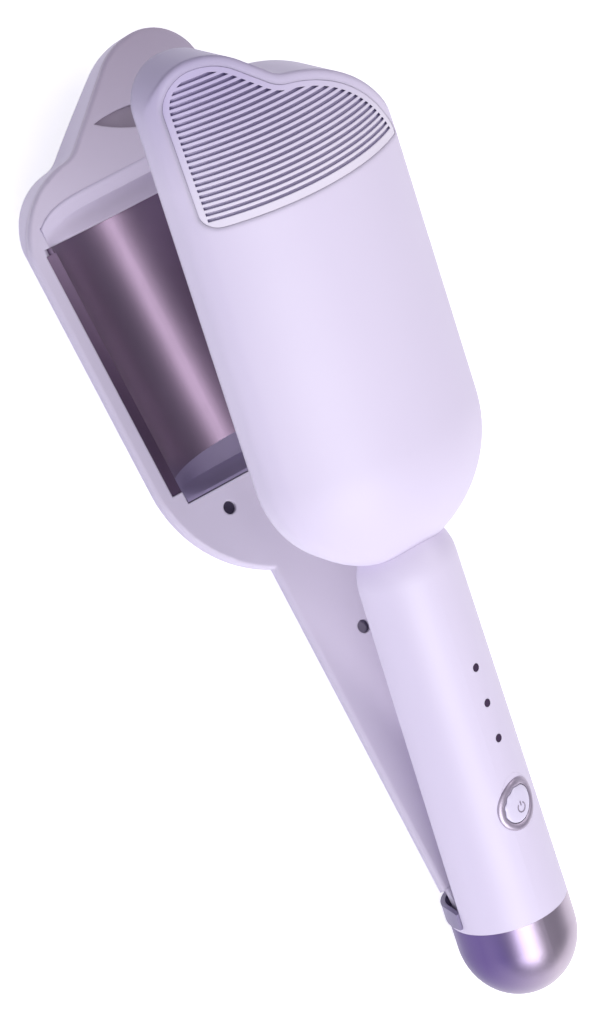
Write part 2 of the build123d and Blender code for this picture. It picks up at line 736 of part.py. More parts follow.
with BuildPart() as lower_heart_grille:
    add(ribbed_heart(LOWER_JAW))
lower_heart_grille.part.label = "lower_heart_grille"
export_step(lower_heart_grille.part, "parts/lower_heart_grille.step")

with BuildPart() as lower_frame_screws:
    add(screws(LOWER, LOWER_SCREWS, FRAME_BACK))
lower_frame_screws.part.label = "lower_frame_screws"
export_step(lower_frame_screws.part, "parts/lower_frame_screws.step")

# Handle shell: full round at the seam, then open below for the lever
ring = control_plane(BUTTON_X, 0)
with BuildPart() as handle_shell:
    add(handle_round(0))
    add(handle_round(-SHELL, SEAM_X - FIT, SPIGOT_X + FIT), mode=Mode.SUBTRACT)
    with BuildSketch(beside(UPPER, 2 * SEAM_R)):
        with Locations((SEAM_X + COLLAR + FRONT_REACH / 2, HANDLE_FLOOR_Z - SEAM_R * 2)):
            Rectangle(FRONT_REACH, SEAM_R * 4)
    extrude(amount=4 * SEAM_R, mode=Mode.SUBTRACT)
    with BuildSketch(ring):
        Ellipse(BUTTON_LONG + RING_WIDTH + FIT, BUTTON_SHORT + RING_WIDTH + FIT)
    extrude(amount=2 * SEAM_R, mode=Mode.SUBTRACT)
    for i in range(LENS_COUNT):
        with BuildSketch(control_plane(LENS_FIRST_X + LENS_PITCH * i, 0)):
            Circle(LENS_R + FIT)
        extrude(amount=2 * SEAM_R, mode=Mode.SUBTRACT)
handle_shell.part.label = "handle_shell"
export_step(handle_shell.part, "parts/handle_shell.step")

# Floor of the handle with the hinge lugs and the posts of the circuit board
BOARD_POSTS = [
    (BOARD_X + POST_INSET + i * (BOARD_LENGTH - 2 * POST_INSET), j * (BOARD_HALF - POST_INSET))
    for i in (0, 1)
    for j in (-1, 1)
]
floor_rise = HANDLE_FLOOR_Z + FLOOR_THICK - HANDLE_AXIS_Z
floor_half = sqrt((NECK_R - SHELL - FIT) ** 2 - floor_rise**2)
spigot_half = sqrt((SPIGOT_R - SHELL - FIT) ** 2 - floor_rise**2)
shoulder_end = NECK_X + SHOULDER_LENGTH
with BuildSketch(Plane.XY) as lug_stem:
    with Locations((0, HANDLE_FLOOR_Z / 2)):
        Rectangle(2 * EAR_R, HANDLE_FLOOR_Z)
with BuildPart() as handle_floor:
    with BuildSketch(UPPER.offset(HANDLE_FLOOR_Z)):
        with BuildLine():
            Polyline(
                (SEAM_X + COLLAR, -floor_half), (NECK_X, -floor_half), (shoulder_end, -spigot_half),
                (SPIGOT_X, -spigot_half), (SPIGOT_X, spigot_half), (shoulder_end, spigot_half),
                (NECK_X, floor_half), (SEAM_X + COLLAR, floor_half), close=True,
            )
        make_face()
    extrude(amount=FLOOR_THICK)
    with BuildSketch(UPPER.offset(HANDLE_FLOOR_Z + FLOOR_THICK)):
        with Locations(*BOARD_POSTS):
            Circle(POST_R)
    extrude(amount=BOARD_Z - HANDLE_FLOOR_Z - FLOOR_THICK)
    add(hinge_plate(UPPER, LUG_INNER, LUG_THICK, lug_stem.sketch))
handle_floor.part.label = "handle_floor"
export_step(handle_floor.part, "parts/handle_floor.step")

with BuildPart() as circuit_board:
    with BuildSketch(UPPER.offset(BOARD_Z)):
        with Locations((BOARD_X + BOARD_LENGTH / 2, 0)):
            Rectangle(BOARD_LENGTH, 2 * BOARD_HALF)
    extrude(amount=BOARD_THICK)
circuit_board.part.label = "circuit_board"
export_step(circuit_board.part, "parts/circuit_board.step")

# Button, its ring and the switch below it
button_radius = SEAM_R - (SEAM_R - NECK_R) / (NECK_X - SEAM_X) * (BUTTON_X - SEAM_X)
with BuildPart() as button_bezel:
    with BuildSketch(ring):
        Ellipse(BUTTON_LONG + RING_WIDTH, BUTTON_SHORT + RING_WIDTH)
        Ellipse(BUTTON_LONG + FIT * 2, BUTTON_SHORT + FIT * 2, mode=Mode.SUBTRACT)
    extrude(amount=2 * SEAM_R)
    add(handle_round(RING_PROUD), mode=Mode.INTERSECT)
    add(handle_round(-SHELL), mode=Mode.SUBTRACT)
button_bezel.part.label = "button_bezel"
export_step(button_bezel.part, "parts/button_bezel.step")

button_under = button_radius - SHELL - BUTTON_TRAVEL
with BuildPart() as power_button:
    with BuildSketch(ring.offset(button_under)):
        Ellipse(BUTTON_LONG - FIT, BUTTON_SHORT - FIT)
    extrude(amount=SEAM_R)
    add(handle_round(BUTTON_PROUD), mode=Mode.INTERSECT)
power_button.part.label = "power_button"
export_step(power_button.part, "parts/power_button.step")

# The switch stands on the board on a wedge-shaped foot, square to the button
with BuildPart() as tact_switch:
    with BuildSketch(ring.offset(button_under - BUTTON_TRAVEL - MOVING_GAP)):
        RectangleRounded(SWITCH_SIZE, SWITCH_SIZE, SWITCH_ROUND)
    extrude(amount=-SEAM_R)
    with BuildSketch(UPPER.offset(BOARD_Z + BOARD_THICK)):
        with Locations((BUTTON_X, 0)):
            Rectangle(4 * SEAM_R, 4 * SEAM_R)
    extrude(amount=2 * SEAM_R, mode=Mode.INTERSECT)
tact_switch.part.label = "tact_switch"
export_step(tact_switch.part, "parts/tact_switch.step")

with BuildPart() as status_lenses:
    for i in range(LENS_COUNT):
        with BuildSketch(control_plane(LENS_FIRST_X + LENS_PITCH * i, 0)):
            Circle(LENS_R)
        extrude(amount=2 * SEAM_R)
    add(handle_round(FIT), mode=Mode.INTERSECT)
    add(handle_round(-SHELL), mode=Mode.SUBTRACT)
status_lenses.part.label = "status_lenses"
export_step(status_lenses.part, "parts/status_lenses.step")

# Metal end cap, a short barrel and a dome, with a bearing for the swivel
swivel_start = CAP_END_X + SWIVEL_SUNK
bearing_end = swivel_start + SWIVEL_LENGTH - SWIVEL_FLANGE_T - MOVING_GAP


def cap_round(inset, front):
    """Round of the end cap, shrunk by inset: a short barrel and an elliptical dome."""
    radius, dome, z = SEAM_R - inset, CAP_DOME - inset, HANDLE_AXIS_Z
    with BuildPart() as body:
        with BuildSketch(beside(UPPER, 0)):
            with BuildLine():
                Polyline(
                    (DOME_CENTRE_X, z + radius), (front, z + radius), (front, z),
                    (DOME_CENTRE_X - dome, z),
                )
                EllipticalCenterArc(
                    (DOME_CENTRE_X, z), dome, radius, start_angle=90, arc_size=90
                )
            make_face()
        revolve(axis=line_along(UPPER, z))
    return body.part


with BuildPart() as end_cap:
    add(cap_round(0, SEAM_X))
    add(cap_round(CAP_WALL, SEAM_X + FIT), mode=Mode.SUBTRACT)
    with BuildSketch(across(UPPER, bearing_end)):
        with Locations((0, HANDLE_AXIS_Z)):
            Circle(BEARING_R)
    extrude(amount=CAP_END_X + CAP_WALL - bearing_end)
    with BuildSketch(across(UPPER, bearing_end)):
        with Locations((0, HANDLE_AXIS_Z)):
            Circle(SWIVEL_R + RUNNING_FIT)
    extrude(amount=-2 * CAP_DOME, mode=Mode.SUBTRACT)
end_cap.part.label = "end_cap"
export_step(end_cap.part, "parts/end_cap.step")

# Swivel bush for a lead, free to turn in the cap
with BuildPart() as cord_swivel:
    with BuildSketch(across(UPPER, swivel_start)):
        with Locations((0, HANDLE_AXIS_Z)):
            Circle(SWIVEL_R)
            Circle(SWIVEL_BORE_R, mode=Mode.SUBTRACT)
    extrude(amount=SWIVEL_LENGTH)
    with BuildSketch(across(UPPER, bearing_end + MOVING_GAP)):
        with Locations((0, HANDLE_AXIS_Z)):
            Circle(SWIVEL_FLANGE_R)
            Circle(SWIVEL_BORE_R, mode=Mode.SUBTRACT)
    extrude(amount=SWIVEL_FLANGE_T)
cord_swivel.part.label = "cord_swivel"
export_step(cord_swivel.part, "parts/cord_swivel.step")

# Hinge pin and the spring that opens the arms
with BuildPart() as hinge_pin:
    with BuildSketch(beside(UPPER, PIN_HALF)):
        Circle(PIN_R)
    extrude(amount=2 * PIN_HALF)
hinge_pin.part.label = "hinge_pin"
export_step(hinge_pin.part, "parts/hinge_pin.step")

spring_length = SPRING_PITCH * SPRING_TURNS
spring_start = beside(UPPER, spring_length / 2)
coil = Helix(
    pitch=SPRING_PITCH, height=spring_length, radius=SPRING_R,
    center=spring_start.origin, direction=spring_start.z_dir,
)
with BuildPart() as return_spring:
    with BuildSketch(Plane(origin=coil @ 0, z_dir=coil % 0)):
        Circle(SPRING_WIRE_R)
    sweep(path=coil, is_frenet=True)
return_spring.part.label = "return_spring"
export_step(return_spring.part, "parts/return_spring.step")

print("hinge at", round(HINGE_X, 4), round(HINGE_Z, 4))
print("handle axis at", HANDLE_AXIS_Z, "cap end at", CAP_END_X)
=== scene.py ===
# %% [markdown]
# # Wave curling iron, opened like a pair of tongs
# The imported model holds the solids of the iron: two bullet-shaped jaws on one hinge, a
# handle, a metal end cap and the heated sheets inside. This notebook dresses them. It loads
# the solids, sets the camera, gives each surface its finish and adds small pieces, of which
# three stand in for a simpler solid. Where the photograph hides or blurs a part, the text says
# that its form or finish is a guess.

# %% Load the solids
import math

import bmesh
import bpy
from mathutils import Matrix, Vector


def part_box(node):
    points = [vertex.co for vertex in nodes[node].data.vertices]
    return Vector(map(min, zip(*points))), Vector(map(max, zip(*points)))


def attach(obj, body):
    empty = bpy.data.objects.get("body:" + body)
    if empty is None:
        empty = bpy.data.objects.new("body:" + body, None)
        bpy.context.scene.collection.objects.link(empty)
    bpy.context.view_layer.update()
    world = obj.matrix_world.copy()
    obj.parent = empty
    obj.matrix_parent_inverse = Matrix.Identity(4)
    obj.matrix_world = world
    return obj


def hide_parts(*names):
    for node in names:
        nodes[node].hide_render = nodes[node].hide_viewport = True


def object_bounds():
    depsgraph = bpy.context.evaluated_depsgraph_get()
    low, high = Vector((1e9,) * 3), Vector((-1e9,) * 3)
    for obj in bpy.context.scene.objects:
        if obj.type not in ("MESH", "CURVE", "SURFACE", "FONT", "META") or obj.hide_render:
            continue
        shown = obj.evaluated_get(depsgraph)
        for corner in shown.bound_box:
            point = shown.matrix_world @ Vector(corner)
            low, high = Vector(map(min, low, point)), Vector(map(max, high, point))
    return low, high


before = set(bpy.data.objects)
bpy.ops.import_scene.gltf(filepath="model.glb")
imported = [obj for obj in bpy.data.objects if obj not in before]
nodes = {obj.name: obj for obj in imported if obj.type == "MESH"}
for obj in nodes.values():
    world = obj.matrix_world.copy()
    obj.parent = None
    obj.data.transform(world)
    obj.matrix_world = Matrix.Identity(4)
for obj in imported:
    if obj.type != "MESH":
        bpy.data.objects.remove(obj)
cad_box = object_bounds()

print("solids:", len(nodes), "box:", cad_box)

# %% [markdown]
# ## Where things are
# Every place is worked out from the hinge. The pin runs straight across the iron, so its box
# gives the hinge line, and the opening angle is the one that the arms have at rest.

# %% The hinge and the two arms
pin_low, pin_high = (Vector(corner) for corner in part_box("hinge_pin"))
HINGE = (pin_low + pin_high) / 2
OPEN = math.radians(22)
ALONG_UPPER = Vector((math.cos(OPEN), 0, math.sin(OPEN)))
ACROSS = Vector((0, 1, 0))
OUT_UPPER = Vector((-math.sin(OPEN), 0, math.cos(OPEN)))
MM = 0.001
MIDDLE = (150, 0, 30)


def on_upper(x, y, z):
    """Point of the upper arm, x mm along it, y mm across it and z mm outwards."""
    return HINGE + (ALONG_UPPER * x + ACROSS * y + OUT_UPPER * z) * MM


def on_lower(x, y, z):
    """Point of the lower arm, in the same three directions, which lies level."""
    return HINGE + Vector((x, y, z)) * MM


print("hinge at", [round(v, 4) for v in HINGE])

# %% [markdown]
# ## Camera
# The photograph looks down on the open iron from its near side, as if with a long lens. The three
# directions of the camera are its right, its up and the way back to the viewer. The lens is
# worked out from how many pixels one millimetre takes, so the iron keeps its size in the
# frame, and the aim is moved until it also keeps its place.

# %% The photograph's view
PICTURE_HEIGHT = 1024
PIXELS_PER_MM = 3.357
VIEW_DISTANCE = 1965 * MM
SENSOR = 24.0
AIM_LEFT, AIM_DOWN = 10.55, 84.8  # pixels
back = Vector((0.039, 0.4179, 0.9077)).normalized()
right = Vector((-0.4643, -0.7967, 0.3868))
right = (right - back * right.dot(back)).normalized()
up = back.cross(right)
aim = on_lower(*MIDDLE)
aim -= right * (AIM_LEFT / PIXELS_PER_MM * MM)
aim -= up * (AIM_DOWN / PIXELS_PER_MM * MM)
camera_data = bpy.data.cameras.new("camera")
camera_data.sensor_fit = "VERTICAL"
camera_data.sensor_height = SENSOR
camera_data.lens = PIXELS_PER_MM * VIEW_DISTANCE / MM / PICTURE_HEIGHT * SENSOR
camera = bpy.data.objects.new("camera", camera_data)
bpy.context.scene.collection.objects.link(camera)
turn = Matrix((right, up, back)).transposed().to_4x4()
camera.matrix_world = Matrix.Translation(aim + back * VIEW_DISTANCE) @ turn
bpy.context.scene.camera = camera
bpy.context.scene.view_settings.view_transform = "Standard"
print("lens", round(camera_data.lens, 1), "mm")

# %% [markdown]
# ## Building materials
# A finish is a small tree of nodes. One helper starts a material with its shader, and others
# add the two things that nearly every surface needs: a faint change of colour from place to
# place, and a fine grain that breaks up the gloss.


# %% Helpers for node trees
GRAIN_DEPTH = 0.00004  # metres
BEVEL_SAMPLES = 6


def start_material(name, color, roughness, metallic=0.0):
    """New material with the plain values of its shader set."""
    material = bpy.data.materials.new(name)
    material.use_nodes = True
    shader = material.node_tree.nodes["Principled BSDF"]
    shader.inputs["Base Color"].default_value = (*color, 1)
    shader.inputs["Roughness"].default_value = roughness
    shader.inputs["Metallic"].default_value = metallic
    return material, material.node_tree, shader


def object_noise(tree, scale, detail=3.0, stretch=(1, 1, 1)):
    """Noise in the object's own space, which may be drawn out along an axis."""
    place = tree.nodes.new("ShaderNodeTexCoord")
    mapping = tree.nodes.new("ShaderNodeMapping")
    mapping.inputs["Scale"].default_value = stretch
    noise = tree.nodes.new("ShaderNodeTexNoise")
    noise.inputs["Scale"].default_value = scale
    noise.inputs["Detail"].default_value = detail
    tree.links.new(place.outputs["Object"], mapping.inputs["Vector"])
    tree.links.new(mapping.outputs["Vector"], noise.inputs["Vector"])
    return noise


def vary_color(tree, shader, noise, low, high):
    """Colour that wanders between two close tones."""
    ramp = tree.nodes.new("ShaderNodeValToRGB")
    ramp.color_ramp.elements[0].color = (*low, 1)
    ramp.color_ramp.elements[1].color = (*high, 1)
    ramp.color_ramp.elements[0].position = 0.35
    ramp.color_ramp.elements[1].position = 0.65
    tree.links.new(noise.outputs["Fac"], ramp.inputs["Fac"])
    tree.links.new(ramp.outputs["Color"], shader.inputs["Base Color"])


def vary_roughness(tree, shader, noise, low, high):
    """Gloss that changes a little across the surface."""
    span = tree.nodes.new("ShaderNodeMapRange")
    span.inputs["To Min"].default_value = low
    span.inputs["To Max"].default_value = high
    tree.links.new(noise.outputs["Fac"], span.inputs["Value"])
    tree.links.new(span.outputs["Result"], shader.inputs["Roughness"])


def add_grain(tree, shader, noise, strength, depth, soft_edge=0):
    """Fine bump from a noise, on edges that can be made to look round (soft_edge in mm)."""
    bump = tree.nodes.new("ShaderNodeBump")
    bump.inputs["Strength"].default_value = strength
    bump.inputs["Distance"].default_value = depth
    tree.links.new(noise.outputs["Fac"], bump.inputs["Height"])
    if soft_edge:
        rounding = tree.nodes.new("ShaderNodeBevel")
        rounding.samples = BEVEL_SAMPLES
        rounding.inputs["Radius"].default_value = soft_edge * MM
        tree.links.new(rounding.outputs["Normal"], bump.inputs["Normal"])
    tree.links.new(bump.outputs["Normal"], shader.inputs["Normal"])


print("helpers ready")

# %% [markdown]
# ## Lavender plastic
# The casings are moulded in a pale lavender plastic with a satin skin: soft wide highlights
# and no mirror image. A very fine grain spreads the highlight, and two tones that differ by
# a hair keep large faces from looking like a flat fill. In the photograph the upper nose is
# deeper in tone towards its tip, probably because it rolls away from the light more than the
# solid does. Here the finish carries that shade.

# %% Satin lavender
NOSE_START, NOSE_TIP = 250, 290
# Painted shade that the casing is multiplied by towards the nose tip.
PAINTED_NOSE_SHADE = (0.62, 0.60, 0.70)


def along_arm(tree, direction, start, end):
    """0 at one place along an arm and 1 at another, both in mm from the hinge."""
    place = tree.nodes.new("ShaderNodeTexCoord")
    project = tree.nodes.new("ShaderNodeVectorMath")
    project.operation = "DOT_PRODUCT"
    project.inputs[1].default_value = direction
    tree.links.new(place.outputs["Object"], project.inputs[0])
    reach = tree.nodes.new("ShaderNodeMapRange")
    reach.inputs["From Min"].default_value = HINGE.dot(direction) + start * MM
    reach.inputs["From Max"].default_value = HINGE.dot(direction) + end * MM
    tree.links.new(project.outputs["Value"], reach.inputs["Value"])
    return reach.outputs["Result"]


def toned(tree, color, amount, shade):
    """Colour multiplied by a painted shade as the amount goes from 0 to 1."""
    mix = tree.nodes.new("ShaderNodeMix")
    mix.data_type = "RGBA"
    mix.blend_type = "MULTIPLY"
    mix.inputs["B"].default_value = (*shade, 1)
    tree.links.new(amount, mix.inputs["Factor"])
    tree.links.new(color, mix.inputs["A"])
    return mix.outputs["Result"]


def satin_lavender(name, soft_edge, nose=None):
    """The casing plastic, with painted shade that deepens it towards the tip of a nose if there
    is one.
    """
    material, tree, shader = start_material(name, (0.79, 0.72, 0.90), 0.47)
    vary_color(tree, shader, object_noise(tree, 9), (0.775, 0.71, 0.875), (0.80, 0.735, 0.895))
    if nose:
        plain = shader.inputs["Base Color"].links[0].from_socket
        reach = along_arm(tree, nose, NOSE_START, NOSE_TIP)
        deep = toned(tree, plain, reach, PAINTED_NOSE_SHADE)
        tree.links.new(deep, shader.inputs["Base Color"])
    vary_roughness(tree, shader, object_noise(tree, 40), 0.43, 0.52)
    add_grain(tree, shader, object_noise(tree, 2600, 1), 0.12, GRAIN_DEPTH, soft_edge)
    shader.inputs["Coat Weight"].default_value = 0.08
    shader.inputs["Coat Roughness"].default_value = 0.4
    return material


lavender = satin_lavender("lavender_satin", 0.3)
head_lavender = satin_lavender("lavender_head", 2.6, ALONG_UPPER)
lower_lavender = satin_lavender("lavender_lower", 1.2)
print("made", lavender.name, head_lavender.name, lower_lavender.name)

# %% [markdown]
# ## Ribbed panels
# The heart panel looks like the same plastic, and the one on the lower jaw, which is a guess,
# is given it too. The slats catch the light on their crests and hold shade between them. The
# grooves are in the solid, but they are under a millimetre
# deep, so painted shade helps: an occlusion node measures how closed in a point is and
# turns the depth of a groove into a darker tone. The crests are painted lighter than the casing
# as a painted highlight, and painted shade darkens the panel towards the nose tip.

# %% Panel plastic with shaded grooves
GROOVE_REACH = 1.3
# The grooves take a painted shade, the crests a tone lifted by a painted highlight, and painted
# shade darkens the panel towards the nose tip.
GROOVE_PAINTED_SHADE, SLAT_TONE_AND_PAINTED_HIGHLIGHT = (0.33, 0.29, 0.46), (0.90, 0.85, 0.96)
PANEL_PAINTED_NOSE_SHADE = (0.66, 0.62, 0.78)
panel, tree, shader = start_material("panel_satin", (0.72, 0.66, 0.90), 0.45)
hollow = tree.nodes.new("ShaderNodeAmbientOcclusion")
hollow.samples = 12
hollow.inputs["Distance"].default_value = GROOVE_REACH * MM
tone = tree.nodes.new("ShaderNodeValToRGB")
tone.color_ramp.elements[0].position = 0.42
tone.color_ramp.elements[0].color = (*GROOVE_PAINTED_SHADE, 1)
tone.color_ramp.elements[1].position = 0.72
tone.color_ramp.elements[1].color = (*SLAT_TONE_AND_PAINTED_HIGHLIGHT, 1)
tree.links.new(hollow.outputs["AO"], tone.inputs["Fac"])
reach = along_arm(tree, ALONG_UPPER, NOSE_START - 8, NOSE_TIP - 12)
deep = toned(tree, tone.outputs["Color"], reach, PANEL_PAINTED_NOSE_SHADE)
tree.links.new(deep, shader.inputs["Base Color"])
add_grain(tree, shader, object_noise(tree, 2200, 1), 0.12, GRAIN_DEPTH, 0.35)
print("made", panel.name)

# %% [markdown]
# ## Inner plate
# The plate that closes the lower arm is a greyer mauve than the casing. In the photograph it
# darkens softly towards the tip of the nose, where it lies in shade; here that is painted shade,
# so its tone follows the length of the arm.

# %% Grey mauve plate
# Painted shade: the plate darkens along this span towards the nose tip.
PLATE_PAINTED_SHADE_SPAN = (235, 285)
PLATE_MOTTLE = 0.18
plate_grey, tree, shader = start_material("inner_plate_mauve", (0.50, 0.44, 0.58), 0.5)
reach = along_arm(tree, Vector((1, 0, 0)), *PLATE_PAINTED_SHADE_SPAN)
mottle = object_noise(tree, 35)
blend = tree.nodes.new("ShaderNodeMath")
blend.operation = "MULTIPLY_ADD"
blend.inputs[1].default_value = PLATE_MOTTLE
tree.links.new(mottle.outputs["Fac"], blend.inputs[0])
tree.links.new(reach, blend.inputs[2])
tone = tree.nodes.new("ShaderNodeValToRGB")
tone.color_ramp.elements[0].position = 0.05
tone.color_ramp.elements[0].color = (0.79, 0.73, 0.87, 1)
tone.color_ramp.elements[1].position = 1.0
tone.color_ramp.elements[1].color = (0.58, 0.50, 0.62, 1)
tree.links.new(blend.outputs["Value"], tone.inputs["Fac"])
tree.links.new(tone.outputs["Color"], shader.inputs["Base Color"])
add_grain(tree, shader, object_noise(tree, 2400, 1), 0.12, GRAIN_DEPTH, 0.8)
print("made", plate_grey.name)

# %% [markdown]
# ## Mauve metal
# In the photograph the trough is a dark plum sheet with one pale band along it. It is made as
# a coated metal under a clear layer: the coating tints what it mirrors and the clear layer
# does not, so the band is pale on a dark sheet. The fine lines along it are a guess, and so is
# the barrel, which has the same finish.

# %% Coated sheet
plum, tree, shader = start_material("plum_coated_metal", (0.195, 0.135, 0.21), 0.36, 0.95)
lines = object_noise(tree, 900, 2, (0.02, 1, 1))
vary_color(tree, shader, object_noise(tree, 30), (0.18, 0.125, 0.195), (0.21, 0.145, 0.225))
vary_roughness(tree, shader, lines, 0.30, 0.38)
add_grain(tree, shader, lines, 0.05, 0.00003)
shader.inputs["Coat Weight"].default_value = 1.0
shader.inputs["Coat Roughness"].default_value = 0.33
print("made", plum.name)

# %% [markdown]
# ## Satin metal of the end cap and the ring
# Both look like satin metal, which shows the room as broad soft bands. In the photograph the
# cap goes from mauve on the far side to violet on the near side, the violet of light from that
# side. Whether that is its colour or the light can't be told. Here most of it is a painted
# reflection, a blend of colour across the cap, and a violet lamp adds to it. The ring round the
# button is duller.

# %% Cap and ring
# Painted reflection: the cap's colour blends from mauve on the far side to violet on the near
# side across this span.
CAP_PAINTED_VIOLET_SPAN = (-2, 17)
cap_metal, tree, shader = start_material("cap_satin_metal", (0.28, 0.22, 0.34), 0.34, 1.0)
reach = along_arm(tree, ACROSS, *CAP_PAINTED_VIOLET_SPAN)
tone = tree.nodes.new("ShaderNodeValToRGB")
tone.color_ramp.elements[0].color = (0.46, 0.39, 0.47, 1)
tone.color_ramp.elements[1].color = (0.12, 0.085, 0.22, 1)
tree.links.new(reach, tone.inputs["Fac"])
tree.links.new(tone.outputs["Color"], shader.inputs["Base Color"])
vary_roughness(tree, shader, object_noise(tree, 60), 0.34, 0.40)
add_grain(tree, shader, object_noise(tree, 3000, 1), 0.06, 0.00002)
ring_metal, tree, shader = start_material("ring_metal", (0.46, 0.40, 0.50), 0.45, 0.8)
vary_color(tree, shader, object_noise(tree, 120), (0.42, 0.36, 0.46), (0.50, 0.44, 0.54))
vary_roughness(tree, shader, object_noise(tree, 500), 0.4, 0.5)
print("made", cap_metal.name, ring_metal.name)

# %% [markdown]
# ## Small dark parts and the inner works
# The three dark dots on the handle are taken for smoked lenses. The block at the end of the
# trough is a matt dark grey, and the screws show as dark spots in their holes. The pin, the
# spring and the inner works can't be seen, so each has the finish that such a part usually has.


# %% Finishes of the small parts
def simple_finish(name, color, roughness, metallic, scale, spread):
    """Finish with a gentle wander of colour and gloss."""
    material, tree, shader = start_material(name, color, roughness, metallic)
    low = tuple(c * (1 - spread) for c in color)
    high = tuple(min(c * (1 + spread), 1) for c in color)
    vary_color(tree, shader, object_noise(tree, scale), low, high)
    vary_roughness(tree, shader, object_noise(tree, scale * 4), roughness * 0.9, roughness * 1.1)
    add_grain(tree, shader, object_noise(tree, 1800, 1), 0.1, GRAIN_DEPTH)
    return material


smoked = simple_finish("smoked_lens", (0.055, 0.03, 0.07), 0.18, 0.0, 60, 0.1)
heatproof = simple_finish("heatproof_grey", (0.15, 0.13, 0.20), 0.5, 0.0, 40, 0.12)
steel = simple_finish("steel", (0.45, 0.44, 0.47), 0.3, 1.0, 80, 0.08)
dark_steel = simple_finish("blackened_steel", (0.13, 0.115, 0.16), 0.4, 1.0, 80, 0.15)
ceramic = simple_finish("heater_ceramic", (0.82, 0.79, 0.72), 0.6, 0.0, 60, 0.04)
mica = simple_finish("mica_shield", (0.55, 0.47, 0.32), 0.45, 0.0, 50, 0.12)
board = simple_finish("board_green", (0.03, 0.14, 0.07), 0.4, 0.0, 70, 0.1)
button_plastic = simple_finish("button_plastic", (0.80, 0.75, 0.92), 0.35, 0.0, 30, 0.02)
block_grey = simple_finish("block_grey", (0.33, 0.28, 0.44), 0.5, 0.0, 40, 0.1)
knuckle_grey = simple_finish("knuckle_grey", (0.33, 0.285, 0.45), 0.45, 0.0, 50, 0.1)
# Painted shade for the floor of the leaf recess.
leaf_painted_shade = simple_finish("leaf_shade", (0.31, 0.26, 0.33), 0.55, 0.0, 60, 0.12)
print("small finishes made")

# %% [markdown]
# ## Dressing the solids
# Each solid takes its finish from this table. Its mesh stays as it is.

# %% Finish of each solid
FINISHES = {
    "upper_head_cover": head_lavender, "lower_casing": lower_lavender,
    "upper_heart_grille": panel, "lower_heart_grille": panel,
    "lower_frame": plate_grey, "trough_plate": plum, "barrel_plate": plum,
    "end_cap": cap_metal, "button_bezel": ring_metal, "power_button": button_plastic,
    "status_lenses": smoked, "trough_end_block": heatproof,
    "barrel_end_butt": heatproof, "barrel_end_tip": heatproof, "cord_swivel": heatproof,
    "hinge_pin": steel, "return_spring": steel, "thermal_fuse": steel,
    "upper_frame_screws": dark_steel, "lower_frame_screws": dark_steel,
    "upper_heater": ceramic, "lower_heater": ceramic,
    "upper_heat_shield": mica, "lower_heat_shield": mica,
    "circuit_board": board, "tact_switch": heatproof,
}
for name, node in nodes.items():
    node.data.materials.clear()
    node.data.materials.append(FINISHES.get(name, lavender))
print("dressed", len(nodes), "solids")

# %% [markdown]
# ## Tools for small pieces
# A small piece is one mesh at the origin, with its place in its points. The handle is a slow
# cone, so a point on it is given by its station along the arm, its side and its height above
# the skin.

# %% Helpers for pieces
HANDLE_AXIS = 1.5
HANDLE_BUTT_X, HANDLE_BUTT_R, HANDLE_TAPER = -7, 18.5, 1.1 / 117
SHARP_ANGLE = math.radians(38)
WELD = 0.001 * MM
CONTROL_ANGLE = math.radians(16)
BUTTON_X = 31


def add_piece(name, shape, material, body):
    """Object from a finished bmesh, normals outward, riding on a body."""
    bmesh.ops.remove_doubles(shape, verts=shape.verts, dist=WELD)
    bmesh.ops.recalc_face_normals(shape, faces=shape.faces)
    mesh = bpy.data.meshes.new(name)
    shape.to_mesh(mesh)
    shape.free()
    for face in mesh.polygons:
        face.use_smooth = True
    mesh.set_sharp_from_angle(angle=SHARP_ANGLE)
    mesh.materials.append(material)
    piece = bpy.data.objects.new(name, mesh)
    bpy.context.scene.collection.objects.link(piece)
    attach(piece, body)
    return piece


def on_handle(along, side, height):
    """Point near the button: along the arm, to the near side, and above the skin."""
    x = BUTTON_X + along
    radius = HANDLE_BUTT_R - HANDLE_TAPER * (x - HANDLE_BUTT_X)
    angle = CONTROL_ANGLE - side / radius
    far = math.sin(angle) * (radius + height)
    return on_upper(x, -far, HANDLE_AXIS + math.cos(angle) * (radius + height))


print("piece helpers ready")

# %% [markdown]
# ## Button and ring
# In the photograph the button is a pebble: nearly round, with one side drawn out towards the
# head, and an uneven edge. A ring that looks like metal frames it. Both are built from loops of
# points. A loop is a circle bent to the pebble's outline and laid on the round of the handle,
# and each loop is bridged to the next: out of the well, over the rim and down again.
#
# The hole in the solid shell is an oval, so a thin seat fills what the ring leaves open.

# %% Pebble outline and its loops
PEBBLE_ALONG, PEBBLE_SIDE = -1.0, 0.9
LEAN = math.radians(50)
BUTTON_R, BUTTON_LOBE, BUTTON_OVAL = 5.5, 0.35, 0.45
RING_R, RING_LOBE, RING_OVAL = 8.0, 0.4, 0.35
RIPPLE, RIPPLE_COUNT, RIPPLE_AT = 0.22, 10, 0.7
LOOP_POINTS = 96


def pebble(angle, share, grow):
    """Place on the outline: share 0 is the button's edge, share 1 the ring's outer edge."""
    turn = angle + LEAN
    inner = BUTTON_R + BUTTON_LOBE * math.cos(turn) + BUTTON_OVAL * math.cos(2 * turn)
    inner += RIPPLE * math.cos(RIPPLE_COUNT * angle) * max(math.cos(angle - RIPPLE_AT), 0)
    outer = RING_R + RING_LOBE * math.cos(turn) + RING_OVAL * math.cos(2 * turn)
    radius = inner + (outer - inner) * share + grow
    return PEBBLE_ALONG + math.cos(angle) * radius, PEBBLE_SIDE + math.sin(angle) * radius


